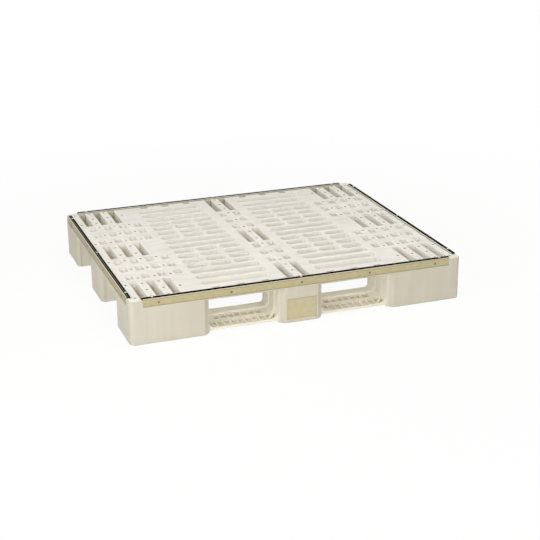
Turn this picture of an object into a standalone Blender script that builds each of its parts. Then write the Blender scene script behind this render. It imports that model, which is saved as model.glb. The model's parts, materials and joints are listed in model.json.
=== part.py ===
"""Plastic pallet with steel edge angles and rubber rails.

One moulding makes the slotted deck, nine hollow feet and three runners. Four steel angles sit in
rebates along its top edges, each with a rubber rail on it, and screws hold both down.
Metres, +Z up, X along the long side. The origin is the centre of the base, on the floor.
"""
import math

import bmesh
import bpy

# Pallet as a whole
LENGTH = 1.200
WIDTH = 1.000
DECK_HEIGHT = 0.154
CORNER_RADIUS = 0.018
EDGE_CHAMFER = 0.002

# Feet, as plan sizes behind the bevelled mouths of the fork openings
END_FOOT_LENGTH = 0.275
CENTRE_FOOT_LENGTH = 0.158
OUTER_FOOT_DEPTH = 0.190
MIDDLE_FOOT_DEPTH = 0.164
FOOT_FLOOR = 0.006

# Fork openings, and the depth of the deck above them
LONG_SIDE_DECK = 0.037
SHORT_SIDE_DECK = 0.039
LONG_SIDE_BEVEL = 0.020
SHORT_SIDE_BEVEL = 0.012
TOP_BEVEL = 0.010

# Runners between the feet, under the long-side openings
RUNNER_SETBACK = 0.024
RUNNER_CLEARANCE = 0.005
RUNNER_RIM_HEIGHT = 0.013
RUNNER_HEIGHT = 0.020
RUNNER_RIM_DEPTH = 0.004
RUNNER_FLOOR = 0.003
RUNNER_POCKET_PITCH = 0.0248
RUNNER_RIB = 0.005
LARGE_POCKET_DEPTH = 0.036
RUNNER_RAIL = 0.015
SMALL_POCKET_DEPTH = 0.034

# Hoops that run over each runner and up the feet's walls, with sunk panels between them
HOOP_START = 0.120
HOOP_WIDTH = 0.013
HOOP_RISE = 0.003
WALL_PANEL_DEPTH = 0.003
HOOP_DRAFT = 0.001
FRONT_FILLET = 0.026
REAR_FILLET = 0.013
FILLET_STEPS = 3
CORNER_ROOM = 0.034

# Slotted panels of the deck
PANEL_WALL = 0.003
SLOT_REACH = 0.004
SLOT_PITCH = 0.0545
END_SLOT_PITCH = 0.058
END_SLOT_ROWS = 2
SLOT_WIDTH = 0.036
SLOT_CORNER = 0.010
SLOT_EDGE_MARGIN = 0.060
CROSS_RIB = 0.014
SLOT_DIVISIONS = 3
RIB_OFFSET = 0.030
SKIN = 0.005
SLAT_WALL = 0.004

# Pockets and drain holes of the end zones and the centre zone
CELL_PITCH = 0.0571
POCKET_WIDTH = 0.025
POCKET_WALL = 0.008
EDGE_WALL = 0.0225
LONG_POCKET_COLUMNS = 3
SMALL_POCKET_COLUMNS = 4
SMALL_POCKET_LENGTH = 0.042
SMALL_POCKET_PITCH = 0.079
DRAIN_RADIUS = 0.0048
FOOT_DRAIN_PITCH = 0.0625
MIDDLE_DRAIN_SPACING = 0.083
SPAN_DRAIN_PITCH = 0.0925
CELL_WIDTH = 0.022
EDGE_POCKET_WIDTH = 0.026
EDGE_POCKET_LENGTH = 0.016

# Steel angles
ANGLE_SETBACK = 0.0015
ANGLE_THICKNESS = 0.002
ANGLE_LEG = 0.024
ANGLE_LIP_RISE = 0.0035
ANGLE_CORNER = 0.004
LONG_ANGLE_INSET = 0.047
SHORT_ANGLE_INSET = 0.040

# Rubber rails and the moulded upstand behind them
RAIL_WIDTH = 0.012
RAIL_RISE = 0.006
RAIL_EDGE = 0.002
RAIL_OVERHANG = 0.003
UPSTAND_THICKNESS = 0.003
UPSTAND_RISE = 0.005

# Screws
SCREW_RADIUS = 0.0021
SIDE_SCREW_LENGTH = 0.012
RAIL_SCREW_LENGTH = 0.013
HEAD_RADIUS = 0.0042
HEAD_CROWN = 0.0030
HEAD_HEIGHT = 0.0012
SIDE_SCREW_RISE = 0.012
LONG_SIDE_SCREW_PITCH = 0.250
SHORT_SIDE_SCREW_PITCH = 0.266
SIDE_SCREW_MARGIN = 0.030
RAIL_SCREW_INSET = 0.080

# Plate on the front centre foot
PLATE_WIDTH = 0.109
PLATE_BOTTOM = 0.013
PLATE_TOP = 0.086
PLATE_CORNER = 0.004
PLATE_THICKNESS = 0.0015
PLATE_SETBACK = 0.002

# Clearance between pieces that touch, and how far a cutter runs past a face
GAP = 0.0003
OVERRUN = 0.002

# Plan sizes that several features share
FOOT_INNER_X = LENGTH / 2 - END_FOOT_LENGTH
FOOT_CENTRE_X = CENTRE_FOOT_LENGTH / 2
FOOT_INNER_Y = WIDTH / 2 - OUTER_FOOT_DEPTH
FOOT_MIDDLE_Y = MIDDLE_FOOT_DEPTH / 2
SPAN_CENTRE_Y = (FOOT_INNER_Y + FOOT_MIDDLE_Y) / 2
LONG_SIDE_OPENING_TOP = DECK_HEIGHT - LONG_SIDE_DECK
SHORT_SIDE_OPENING_TOP = DECK_HEIGHT - SHORT_SIDE_DECK
ANGLE_BOTTOM = DECK_HEIGHT - ANGLE_LEG
LEG_INNER = ANGLE_SETBACK + ANGLE_THICKNESS
FLANGE_INNER = LEG_INNER + GAP + RAIL_WIDTH + GAP
RAIL_BOTTOM = DECK_HEIGHT + GAP
RAIL_TOP = DECK_HEIGHT + RAIL_RISE
POCKET_LIMIT_Y = WIDTH / 2 - EDGE_WALL


def clear_scene():
    """Remove every object of the open scene."""
    for item in list(bpy.data.objects):
        bpy.data.objects.remove(item, do_unlink=True)


def make_material(name, colour, roughness, metallic=0.0):
    """Return a Principled material."""
    material = bpy.data.materials.new(name)
    material.use_nodes = True
    shader = material.node_tree.nodes["Principled BSDF"]
    shader.inputs["Base Color"].default_value = (*colour, 1.0)
    shader.inputs["Roughness"].default_value = roughness
    shader.inputs["Metallic"].default_value = metallic
    return material


def make_object(name, bm, material=None, parent=None):
    """Turn a bmesh into an object with its faces pointing out."""
    bmesh.ops.recalc_face_normals(bm, faces=bm.faces)
    mesh = bpy.data.meshes.new(name)
    bm.to_mesh(mesh)
    bm.free()
    item = bpy.data.objects.new(name, mesh)
    bpy.context.scene.collection.objects.link(item)
    if material:
        mesh.materials.append(material)
    item.parent = parent
    return item


def make_cutter(name, bm):
    """Make a hidden wire object that only cuts others."""
    cutter = make_object(name, bm)
    cutter.hide_render = True
    cutter.display_type = "WIRE"
    return cutter


def use_boolean(item, cutter, operation="DIFFERENCE"):
    """Add an exact Boolean modifier."""
    modifier = item.modifiers.new(cutter.name, "BOOLEAN")
    modifier.operation = operation
    modifier.object = cutter
    modifier.solver = "EXACT"


def rounded_outline(centre_x, centre_y, width, depth, radius, segments):
    """Return the corner points of a rounded rectangle, anticlockwise."""
    points = []
    for quarter, (side_x, side_y) in enumerate(((1, 1), (-1, 1), (-1, -1), (1, -1))):
        arc_x = centre_x + side_x * (width / 2 - radius)
        arc_y = centre_y + side_y * (depth / 2 - radius)
        for step in range(segments + 1):
            angle = (quarter + step / segments) * math.pi / 2
            points.append((arc_x + radius * math.cos(angle), arc_y + radius * math.sin(angle)))
    return points


def circle_outline(centre_x, centre_y, radius, sides):
    """Return the points of a regular polygon, anticlockwise."""
    turn = 2 * math.pi / sides
    return [(centre_x + radius * math.cos(turn * k), centre_y + radius * math.sin(turn * k))
            for k in range(sides)]


def add_loft(bm, rings):
    """Join rings of points into one closed shape with flat ends."""
    rows = [[bm.verts.new(point) for point in ring] for ring in rings]
    for row, following in zip(rows, rows[1:]):
        for k, vertex in enumerate(row):
            after = (k + 1) % len(row)
            bm.faces.new((vertex, row[after], following[after], following[k]))
    bm.faces.new(reversed(rows[0]))
    bm.faces.new(rows[-1])


def add_prism(bm, outline, low, high):
    """Extrude a plan outline from one height to another."""
    add_loft(bm, [[(x, y, z) for x, y in outline] for z in (low, high)])


def add_box(bm, low, high):
    """Add a box between two corners."""
    outline = [(low[0], low[1]), (high[0], low[1]), (high[0], high[1]), (low[0], high[1])]
    add_prism(bm, outline, low[2], high[2])


def upright_ring(along, low, high, bottom, top, axis):
    """Return an upright rectangle across the X or the Y axis."""
    corners = ((low, bottom), (high, bottom), (high, top), (low, top))
    if axis == "X":
        return [(along, across, z) for across, z in corners]
    return [(across, along, z) for across, z in corners]


def block():
    """Return the moulding's outer block with rounded corners and chamfered rims."""
    bm = bmesh.new()
    add_prism(bm, rounded_outline(0, 0, LENGTH, WIDTH, CORNER_RADIUS, 4), 0, DECK_HEIGHT)
    rims = [edge for edge in bm.edges
            if abs(edge.verts[0].co.z - edge.verts[1].co.z) < OVERRUN / 2]
    bmesh.ops.bevel(bm, geom=rims, offset=EDGE_CHAMFER, segments=1, affect="EDGES")
    return bm


def upstands():
    """Return the four ribs that stand behind the rubber rails."""
    bm = bmesh.new()
    near = FLANGE_INNER + GAP
    far = near + UPSTAND_THICKNESS
    low = DECK_HEIGHT - SKIN / 2
    high = DECK_HEIGHT + UPSTAND_RISE
    reach_x = LENGTH / 2 - LONG_ANGLE_INSET + RAIL_OVERHANG
    reach_y = WIDTH / 2 - SHORT_ANGLE_INSET + RAIL_OVERHANG
    for side in (-1, 1):
        y_sides = sorted((side * (WIDTH / 2 - near), side * (WIDTH / 2 - far)))
        add_box(bm, (-reach_x, y_sides[0], low), (reach_x, y_sides[1], high))
        x_sides = sorted((side * (LENGTH / 2 - near), side * (LENGTH / 2 - far)))
        add_box(bm, (x_sides[0], -reach_y, low), (x_sides[1], reach_y, high))
    return bm


def short_side_openings():
    """Return the two tunnels along X, open to the floor, with flared mouths."""
    bm = bmesh.new()
    flare = SHORT_SIDE_BEVEL + OVERRUN
    rise = TOP_BEVEL * flare / SHORT_SIDE_BEVEL
    mouth = LENGTH / 2 + OVERRUN
    throat = LENGTH / 2 - SHORT_SIDE_BEVEL
    top = SHORT_SIDE_OPENING_TOP
    for side in (-1, 1):
        low, high = sorted((side * FOOT_MIDDLE_Y, side * FOOT_INNER_Y))
        wide = (low - flare, high + flare, -OVERRUN, top + rise, "X")
        narrow = (low, high, -OVERRUN, top, "X")
        add_loft(bm, [upright_ring(-mouth, *wide), upright_ring(-throat, *narrow),
                      upright_ring(throat, *narrow), upright_ring(mouth, *wide)])
    return bm


def fillet_radius(depth):
    """Return the radius of the tunnel's lower corners at a depth behind the side face."""
    return FRONT_FILLET + (REAR_FILLET - FRONT_FILLET) * max(depth, 0) / OUTER_FOOT_DEPTH


def outer_runner_stations():
    """Return (depth, floor height, wall spread) over an outer runner, from the face inwards."""
    rim = RUNNER_SETBACK + RUNNER_RIM_DEPTH
    rail = rim + LARGE_POCKET_DEPTH
    rail_end = rail + RUNNER_RAIL
    hoop_end = HOOP_START + HOOP_WIDTH
    return [(-OVERRUN, RUNNER_RIM_HEIGHT, 0),
            (rim, RUNNER_RIM_HEIGHT, 0),
            (rim + HOOP_DRAFT, RUNNER_RIM_HEIGHT, WALL_PANEL_DEPTH),
            (rail - HOOP_DRAFT, RUNNER_HEIGHT, WALL_PANEL_DEPTH),
            (rail, RUNNER_HEIGHT, 0),
            (rail_end, RUNNER_HEIGHT, 0),
            (rail_end + HOOP_DRAFT, RUNNER_HEIGHT, WALL_PANEL_DEPTH),
            (HOOP_START - HOOP_DRAFT, RUNNER_HEIGHT, WALL_PANEL_DEPTH),
            (HOOP_START, RUNNER_HEIGHT + HOOP_RISE, 0),
            (hoop_end, RUNNER_HEIGHT + HOOP_RISE, 0),
            (hoop_end + HOOP_DRAFT, RUNNER_HEIGHT, WALL_PANEL_DEPTH),
            (OUTER_FOOT_DEPTH + HOOP_DRAFT, RUNNER_RIM_HEIGHT, WALL_PANEL_DEPTH)]


def middle_runner_stations():
    """Return (depth, floor height, wall spread) over half of the middle runner."""
    edge = WIDTH / 2 - FOOT_MIDDLE_Y
    rim = edge + 2 * RUNNER_RIM_DEPTH
    return [(edge - HOOP_DRAFT, RUNNER_RIM_HEIGHT, WALL_PANEL_DEPTH),
            (rim, RUNNER_RIM_HEIGHT, WALL_PANEL_DEPTH),
            (rim + LARGE_POCKET_DEPTH, RUNNER_HEIGHT, WALL_PANEL_DEPTH)]


def tunnel_ring(y, low, high, floor, radius):
    """Return the tunnel's outline across Y, with rounded lower corners."""
    points = []
    for quarter, arc_x in ((2, low + radius), (3, high - radius)):
        for step in range(FILLET_STEPS + 1):
            angle = (quarter + step / FILLET_STEPS) * math.pi / 2
            points.append((arc_x + radius * math.cos(angle), y,
                           floor + radius + radius * math.sin(angle)))
    return points + [(high, y, LONG_SIDE_OPENING_TOP), (low, y, LONG_SIDE_OPENING_TOP)]


def long_side_openings():
    """Return the two tunnels along Y, which run over the hoops and the runners' tops."""
    outer = outer_runner_stations()
    middle = middle_runner_stations()
    sunk = (-2 * OVERRUN, WALL_PANEL_DEPTH)
    half = outer + [(outer[-1][0] + HOOP_DRAFT, *sunk), (middle[0][0] - HOOP_DRAFT, *sunk)]
    half += middle
    stations = [(depth, floor, spread, -WIDTH / 2 + depth) for depth, floor, spread in half]
    stations += [(*station[:3], -station[3]) for station in reversed(stations)]
    bm = bmesh.new()
    for side in (-1, 1):
        low, high = sorted((side * FOOT_CENTRE_X, side * FOOT_INNER_X))
        rings = []
        for depth, floor, spread, y in stations:
            radius = OVERRUN / 2 if floor < 0 else fillet_radius(min(depth, OUTER_FOOT_DEPTH))
            rings.append(tunnel_ring(y, low - spread, high + spread, floor, radius))
        add_loft(bm, rings)
    bmesh.ops.connect_verts_nonplanar(bm, angle_limit=math.radians(0.1), faces=bm.faces)
    return bm


def long_side_mouths():
    """Return the bevelled mouths that set the runners back from the feet's faces."""
    bm = bmesh.new()
    slope = TOP_BEVEL / LONG_SIDE_BEVEL
    outer = LONG_SIDE_BEVEL + OVERRUN
    inner = LONG_SIDE_BEVEL - RUNNER_SETBACK
    for side in (-1, 1):
        low, high = sorted((side * FOOT_CENTRE_X, side * FOOT_INNER_X))
        for face in (-1, 1):
            rings = []
            for depth, spread in ((-OVERRUN, outer), (RUNNER_SETBACK, inner)):
                top = LONG_SIDE_OPENING_TOP + spread * slope
                rings.append(upright_ring(face * (WIDTH / 2 - depth), low - spread,
                                          high + spread, -OVERRUN, top, "Y"))
            add_loft(bm, rings)
    return bm


def runner_undersides():
    """Return the shallow cuts that lift the runners off the floor."""
    bm = bmesh.new()
    rows = ((-WIDTH / 2 - OVERRUN, -FOOT_INNER_Y + OVERRUN),
            (-FOOT_MIDDLE_Y - OVERRUN, FOOT_MIDDLE_Y + OVERRUN),
            (FOOT_INNER_Y - OVERRUN, WIDTH / 2 + OVERRUN))
    for side in (-1, 1):
        low, high = sorted((side * FOOT_CENTRE_X, side * FOOT_INNER_X))
        for near, far in rows:
            add_box(bm, (low, near, -OVERRUN), (high, far, RUNNER_CLEARANCE))
    return bm


def runner_pocket_bands():
    """Return (low Y, high Y, pockets per pitch) of each row of pockets in the runners."""
    first = RUNNER_SETBACK + RUNNER_RIM_DEPTH
    second = first + LARGE_POCKET_DEPTH + RUNNER_RAIL
    middle = FOOT_MIDDLE_Y - 2 * RUNNER_RIM_DEPTH
    bands = []
    for face in (-1, 1):
        for start, depth in ((first, LARGE_POCKET_DEPTH), (second, SMALL_POCKET_DEPTH)):
            bands.append((*sorted((face * (WIDTH / 2 - start),
                                   face * (WIDTH / 2 - start - depth))), 1))
        bands.append((*sorted((face * middle, face * (middle - LARGE_POCKET_DEPTH))), 2))
    return bands


def runner_pocket_limits(pitch):
    """Return (first rib X, number of pockets) of a row that leaves room for its corners."""
    room = FOOT_INNER_X - FOOT_CENTRE_X - 2 * CORNER_ROOM
    count = max(int(room / pitch), 1)
    return (FOOT_INNER_X + FOOT_CENTRE_X - count * pitch) / 2, count


def runner_pockets():
    """Return the pockets between the runners' cross ribs."""
    bm = bmesh.new()
    floor = RUNNER_CLEARANCE + RUNNER_FLOOR
    for y_low, y_high, widening in runner_pocket_bands():
        pitch = RUNNER_POCKET_PITCH * widening
        start, count = runner_pocket_limits(pitch)
        for k in range(count):
            low = start + k * pitch + RUNNER_RIB / 2
            for side in (-1, 1):
                x_sides = sorted((side * low, side * (low + pitch - RUNNER_RIB)))
                add_box(bm, (x_sides[0], y_low, floor),
                        (x_sides[1], y_high, RUNNER_HEIGHT + OVERRUN))
    return bm


def corner_pockets():
    """Return the three-cornered pockets on both sides of the slanting ribs in the corners."""
    start, count = runner_pocket_limits(RUNNER_POCKET_PITCH)
    first = RUNNER_SETBACK + RUNNER_RIM_DEPTH
    floor = RUNNER_CLEARANCE + RUNNER_FLOOR
    top = RUNNER_HEIGHT + FRONT_FILLET
    centre = (FOOT_CENTRE_X + FOOT_INNER_X) / 2
    near = start + count * RUNNER_POCKET_PITCH + RUNNER_RIB / 2 - centre
    far = FOOT_INNER_X - RUNNER_RIB / 2 - centre
    front = WIDTH / 2 - first
    back = front - LARGE_POCKET_DEPTH
    corners = (((near, back), (near, front - RUNNER_RIB), (far - RUNNER_RIB, back)),
               ((near + RUNNER_RIB, front), (far, front), (far, back + RUNNER_RIB)))
    bm = bmesh.new()
    for side in (-centre, centre):
        for turn in (-1, 1):
            for face in (-1, 1):
                for outline in corners:
                    add_prism(bm, [(side + turn * x, face * y) for x, y in outline], floor, top)
    return bm


def slot_rows():
    """Return the distance of each slot row from the middle of the deck, on one side."""
    room = WIDTH / 2 - SLOT_EDGE_MARGIN - SLOT_WIDTH / 2 - END_SLOT_ROWS * END_SLOT_PITCH
    count = int(room / SLOT_PITCH + 0.5)
    rows = [(k + 0.5) * SLOT_PITCH for k in range(count)]
    rows += [rows[-1] + (k + 1) * END_SLOT_PITCH for k in range(END_SLOT_ROWS)]
    return rows


def is_divided(row):
    """Tell whether cross ribs divide a slot row: those over the short-side openings."""
    return FOOT_MIDDLE_Y - RIB_OFFSET < row < FOOT_INNER_Y - RIB_OFFSET


def slot_spans(divided):
    """Return the (low, high) X limits of the slots in one row of a panel."""
    low = FOOT_CENTRE_X + PANEL_WALL
    high = FOOT_INNER_X + SLOT_REACH
    if not divided:
        return [(low, high)]
    width = (high - low - (SLOT_DIVISIONS - 1) * CROSS_RIB) / SLOT_DIVISIONS
    return [(low + k * (width + CROSS_RIB), low + k * (width + CROSS_RIB) + width)
            for k in range(SLOT_DIVISIONS)]


def deck_slots():
    """Return the through slots of the two panels."""
    bm = bmesh.new()
    for row in slot_rows():
        for low, high in slot_spans(is_divided(row)):
            for side_x in (-1, 1):
                for side_y in (-1, 1):
                    outline = rounded_outline(side_x * (low + high) / 2, side_y * row,
                                              high - low, SLOT_WIDTH, SLOT_CORNER, 1)
                    add_prism(bm, outline, LONG_SIDE_OPENING_TOP - 2 * OVERRUN,
                              DECK_HEIGHT + OVERRUN)
    return bm


def edge_pockets():
    """Return the short blind pockets between the panels and the upstands."""
    bm = bmesh.new()
    for low, high in slot_spans(True):
        for side_x in (-1, 1):
            centre = side_x * (low + high) / 2
            for side_y in (-1, 1):
                y_sides = sorted((side_y * POCKET_LIMIT_Y,
                                  side_y * (POCKET_LIMIT_Y - EDGE_POCKET_LENGTH)))
                add_box(bm, (centre - EDGE_POCKET_WIDTH / 2, y_sides[0],
                             LONG_SIDE_OPENING_TOP + TOP_BEVEL),
                        (centre + EDGE_POCKET_WIDTH / 2, y_sides[1], DECK_HEIGHT + OVERRUN))
    return bm


def slat_hollows():
    """Return the grooves that core out the slats from below."""
    bm = bmesh.new()
    rows = slot_rows()
    rows = [-row for row in reversed(rows)] + rows
    bottom = LONG_SIDE_OPENING_TOP - 2 * OVERRUN
    (x_low, x_high), = slot_spans(False)
    for near, far in zip(rows, rows[1:]):
        y_low = near + SLOT_WIDTH / 2 + SLAT_WALL
        y_high = far - SLOT_WIDTH / 2 - SLAT_WALL
        for side in (-1, 1):
            low, high = sorted((side * x_low, side * x_high))
            add_box(bm, (low, y_low, bottom), (high, y_high, DECK_HEIGHT - SKIN))
    return bm


def cell_column(number):
    """Return the X distance of a half-pitch column, counted inwards from the short side."""
    return LENGTH / 2 - (1 + number) * CELL_PITCH / 2


def span_rows(pitch, length):
    """Return the Y centres of as many features of one pitch as fit between two rows of feet."""
    room = FOOT_INNER_Y - FOOT_MIDDLE_Y - 2 * POCKET_WALL
    count = int((room - length) / pitch) + 1
    return [SPAN_CENTRE_Y + (k - (count - 1) / 2) * pitch for k in range(count)]


def pocket_rows():
    """Return (low, high, deep) for the pockets of one column, on one side of the middle."""
    rows = [(FOOT_INNER_Y + POCKET_WALL, POCKET_LIMIT_Y, True)]
    for centre in span_rows(SMALL_POCKET_PITCH, SMALL_POCKET_LENGTH):
        rows.append((centre - SMALL_POCKET_LENGTH / 2, centre + SMALL_POCKET_LENGTH / 2, False))
    return rows


def add_pocket(bm, x, y_low, y_high, deep):
    """Add one pocket: deep ones end above the foot's floor, the others run through the deck."""
    floor = FOOT_FLOOR if deep else SHORT_SIDE_OPENING_TOP - OVERRUN
    add_box(bm, (x - POCKET_WIDTH / 2, y_low, floor),
            (x + POCKET_WIDTH / 2, y_high, DECK_HEIGHT + OVERRUN))


def deck_pockets():
    """Return the pockets of the end zones and the centre zone."""
    bm = bmesh.new()
    columns = [(CELL_PITCH / 2, True)]
    columns += [(cell_column(2 * k + 1), k < LONG_POCKET_COLUMNS)
                for k in range(SMALL_POCKET_COLUMNS)]
    middle = FOOT_MIDDLE_Y - POCKET_WALL
    for x, over_feet in columns:
        for side_x in (-1, 1):
            if over_feet:
                add_pocket(bm, side_x * x, -middle, middle, True)
            for low, high, deep in pocket_rows():
                if deep and not over_feet:
                    continue
                for side_y in (-1, 1):
                    y_low, y_high = sorted((side_y * low, side_y * high))
                    add_pocket(bm, side_x * x, y_low, y_high, deep)
    return bm


def drain_holes():
    """Return the small holes through the top skin, along the columns of cells."""
    foot_row = (FOOT_INNER_Y + WIDTH / 2) / 2
    foot_rows = [foot_row + k * FOOT_DRAIN_PITCH for k in (-1, 0, 1)]
    open_rows = span_rows(SPAN_DRAIN_PITCH, 2 * DRAIN_RADIUS)
    middle_rows = [MIDDLE_DRAIN_SPACING / 2]
    every_row = middle_rows + open_rows + foot_rows
    columns = [(cell_column(0), open_rows[:1] + foot_rows[::2]),
               (cell_column(2), every_row), (cell_column(4), every_row),
               (cell_column(6), open_rows + foot_rows[1:2]), (0.0, every_row)]
    bm = bmesh.new()
    for x, rows in columns:
        for side_x in ((-1, 1) if x else (1,)):
            for row in rows:
                for side_y in (-1, 1):
                    outline = circle_outline(side_x * x, side_y * row, DRAIN_RADIUS, 5)
                    add_prism(bm, outline, DECK_HEIGHT - SKIN - OVERRUN,
                              DECK_HEIGHT + OVERRUN)
    return bm


def underside_cells():
    """Return the cells cored out from below, in the feet and in the deck between them."""
    bm = bmesh.new()
    columns = [cell_column(2 * k) for k in range(SMALL_POCKET_COLUMNS + 1)] + [0.0, CELL_PITCH]
    limit = LENGTH / 2 - EDGE_WALL
    rows = ((-POCKET_LIMIT_Y, -FOOT_INNER_Y - POCKET_WALL, True),
            (-FOOT_INNER_Y + POCKET_WALL, -FOOT_MIDDLE_Y - POCKET_WALL, False),
            (-FOOT_MIDDLE_Y + POCKET_WALL, FOOT_MIDDLE_Y - POCKET_WALL, True),
            (FOOT_MIDDLE_Y + POCKET_WALL, FOOT_INNER_Y - POCKET_WALL, False),
            (FOOT_INNER_Y + POCKET_WALL, POCKET_LIMIT_Y, True))
    for column in columns:
        if FOOT_CENTRE_X < column + CELL_WIDTH / 2 and column - CELL_WIDTH / 2 < FOOT_INNER_X:
            continue
        for side_x in ((-1, 1) if column else (1,)):
            near = side_x * (column - CELL_WIDTH / 2)
            far = side_x * min(column + CELL_WIDTH / 2, limit)
            low, high = sorted((near, far))
            for y_low, y_high, in_foot in rows:
                bottom = 0.0 if in_foot else SHORT_SIDE_OPENING_TOP
                add_box(bm, (low, y_low, bottom - OVERRUN),
                        (high, y_high, DECK_HEIGHT - SKIN))
    return bm


def plate_recess():
    """Return the recess for the plate in the front centre foot."""
    bm = bmesh.new()
    width = PLATE_WIDTH + 2 * GAP
    height = PLATE_TOP - PLATE_BOTTOM + 2 * GAP
    outline = rounded_outline(0, (PLATE_TOP + PLATE_BOTTOM) / 2, width, height, PLATE_CORNER, 2)
    depth = PLATE_SETBACK + PLATE_THICKNESS + GAP
    rings = [[(x, -WIDTH / 2 + y, z) for x, z in outline] for y in (-OVERRUN, depth)]
    add_loft(bm, rings)
    return bm


def edge_sides():
    """Return (name, edge length, centre, turn, angle inset, screw pitch) for the four edges."""
    return (("front", LENGTH, (0, -WIDTH / 2, 0), 0, LONG_ANGLE_INSET, LONG_SIDE_SCREW_PITCH),
            ("rear", LENGTH, (0, WIDTH / 2, 0), 180, LONG_ANGLE_INSET, LONG_SIDE_SCREW_PITCH),
            ("left", WIDTH, (-LENGTH / 2, 0, 0), -90, SHORT_ANGLE_INSET, SHORT_SIDE_SCREW_PITCH),
            ("right", WIDTH, (LENGTH / 2, 0, 0), 90, SHORT_ANGLE_INSET, SHORT_SIDE_SCREW_PITCH))


def angle_rebate(reach):
    """Return the rebate for one angle, in the edge's own frame with Y inwards."""
    leg = LEG_INNER + GAP
    shelf = DECK_HEIGHT - ANGLE_THICKNESS - GAP
    section = [(-OVERRUN, ANGLE_BOTTOM - GAP), (leg, ANGLE_BOTTOM - GAP), (leg, shelf),
               (FLANGE_INNER + GAP, shelf), (FLANGE_INNER + GAP, DECK_HEIGHT + OVERRUN),
               (-OVERRUN, DECK_HEIGHT + OVERRUN)]
    bm = bmesh.new()
    add_loft(bm, [[(x, y, z) for y, z in section] for x in (-reach - GAP, reach + GAP)])
    return bm


def angle_leg(reach):
    """Return the upright leg of one angle, a strip with rounded lower corners."""
    low = ANGLE_BOTTOM
    high = DECK_HEIGHT + ANGLE_LIP_RISE
    outline = [point for point in rounded_outline(0, (low + high) / 2, 2 * reach, high - low,
                                                  ANGLE_CORNER, 2)
               if point[1] < low + ANGLE_CORNER + GAP]
    outline += [(reach, high), (-reach, high)]
    bm = bmesh.new()
    add_loft(bm, [[(x, y, z) for x, z in outline] for y in (ANGLE_SETBACK, LEG_INNER)])
    return bm


def angle_flange(reach):
    """Return the flange of one angle, let into its leg."""
    bm = bmesh.new()
    add_box(bm, (-reach, LEG_INNER - ANGLE_THICKNESS / 2, DECK_HEIGHT - ANGLE_THICKNESS),
            (reach, FLANGE_INNER, DECK_HEIGHT))
    return bm


def rail_shape(reach):
    """Return one rubber rail with chamfered top edges and ends."""
    near = LEG_INNER + GAP
    bm = bmesh.new()
    add_box(bm, (-reach, near, RAIL_BOTTOM), (reach, near + RAIL_WIDTH, RAIL_TOP))
    rounded = [edge for edge in bm.edges
               if max(vertex.co.z for vertex in edge.verts) > RAIL_TOP - GAP]
    bmesh.ops.bevel(bm, geom=rounded, offset=RAIL_EDGE, segments=1, affect="EDGES",
                    clamp_overlap=True)
    return bm


def screw_shape(length):
    """Return a round-headed screw along Z, with the underside of its head at zero."""
    rings = ((SCREW_RADIUS, -length), (SCREW_RADIUS, 0), (HEAD_RADIUS, 0),
             (HEAD_CROWN, HEAD_HEIGHT))
    bm = bmesh.new()
    add_loft(bm, [[(x, y, z) for x, y in circle_outline(0, 0, radius, 6)]
                  for radius, z in rings])
    return bm


def screw_hole(length):
    """Return the cutter of one screw hole, from past the head to just below the tip."""
    bm = bmesh.new()
    radius = (SCREW_RADIUS + GAP) / math.cos(math.pi / 6)
    add_prism(bm, circle_outline(0, 0, radius, 6), -length - GAP, GAP)
    return bm


def plate_shape():
    """Return the plate, a thin sheet with rounded corners."""
    outline = rounded_outline(0, 0, PLATE_WIDTH, PLATE_TOP - PLATE_BOTTOM, PLATE_CORNER, 2)
    bm = bmesh.new()
    add_loft(bm, [[(x, y, z) for x, z in outline] for y in (0, PLATE_THICKNESS)])
    return bm


def screw_places(reach, length, pitch):
    """Return (kind, number, position, turn, length) for the screws of one edge."""
    pairs = int((reach - SIDE_SCREW_MARGIN) / pitch)
    side_xs = [k * pitch for k in range(-pairs, pairs + 1)]
    if reach - SIDE_SCREW_MARGIN - pairs * pitch > pitch / 2:
        side_xs = [(k + 0.5) * pitch for k in range(-pairs - 1, pairs + 1)]
    places = [("side_screw", k + 1, (x, ANGLE_SETBACK - GAP, ANGLE_BOTTOM + SIDE_SCREW_RISE),
               (math.pi / 2, 0, 0), SIDE_SCREW_LENGTH) for k, x in enumerate(side_xs)]
    rail_y = LEG_INNER + GAP + RAIL_WIDTH / 2
    rail_xs = (RAIL_SCREW_INSET - length / 2, 0, length / 2 - RAIL_SCREW_INSET)
    places += [("rail_screw", k + 1, (x, rail_y, RAIL_TOP + GAP), (0, 0, 0), RAIL_SCREW_LENGTH)
               for k, x in enumerate(rail_xs)]
    return places


def place(item, location, turn):
    """Set an object's place in its parent's frame."""
    item.location = location
    item.rotation_euler = turn


def build_edge(body, materials, name, length, centre, turn, inset, pitch):
    """Build one edge: its angle, rail and screws, and the rebate and holes they need."""
    frame = bpy.data.objects.new(name + "_edge", None)
    bpy.context.scene.collection.objects.link(frame)
    place(frame, centre, (0, 0, math.radians(turn)))
    reach = length / 2 - inset
    angle = make_object(name + "_edge_angle", angle_leg(reach), materials["steel"], frame)
    flange = make_cutter(name + "_flange", angle_flange(reach))
    flange.parent = frame
    use_boolean(angle, flange, "UNION")
    rail = make_object(name + "_rubber_rail", rail_shape(reach + RAIL_OVERHANG),
                       materials["rubber"], frame)
    rebate = make_cutter(name + "_rebate", angle_rebate(reach))
    rebate.parent = frame
    use_boolean(body, rebate)
    for kind, number, location, tilt, depth in screw_places(reach, length, pitch):
        label = f"{name}_{kind}_{number}"
        place(make_object(label, screw_shape(depth), materials["bright"], frame),
              location, tilt)
        hole = make_cutter(label + "_hole", screw_hole(depth))
        hole.parent = frame
        place(hole, location, tilt)
        for pierced in (body, angle) + ((rail,) if kind == "rail_screw" else ()):
            use_boolean(pierced, hole)


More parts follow.
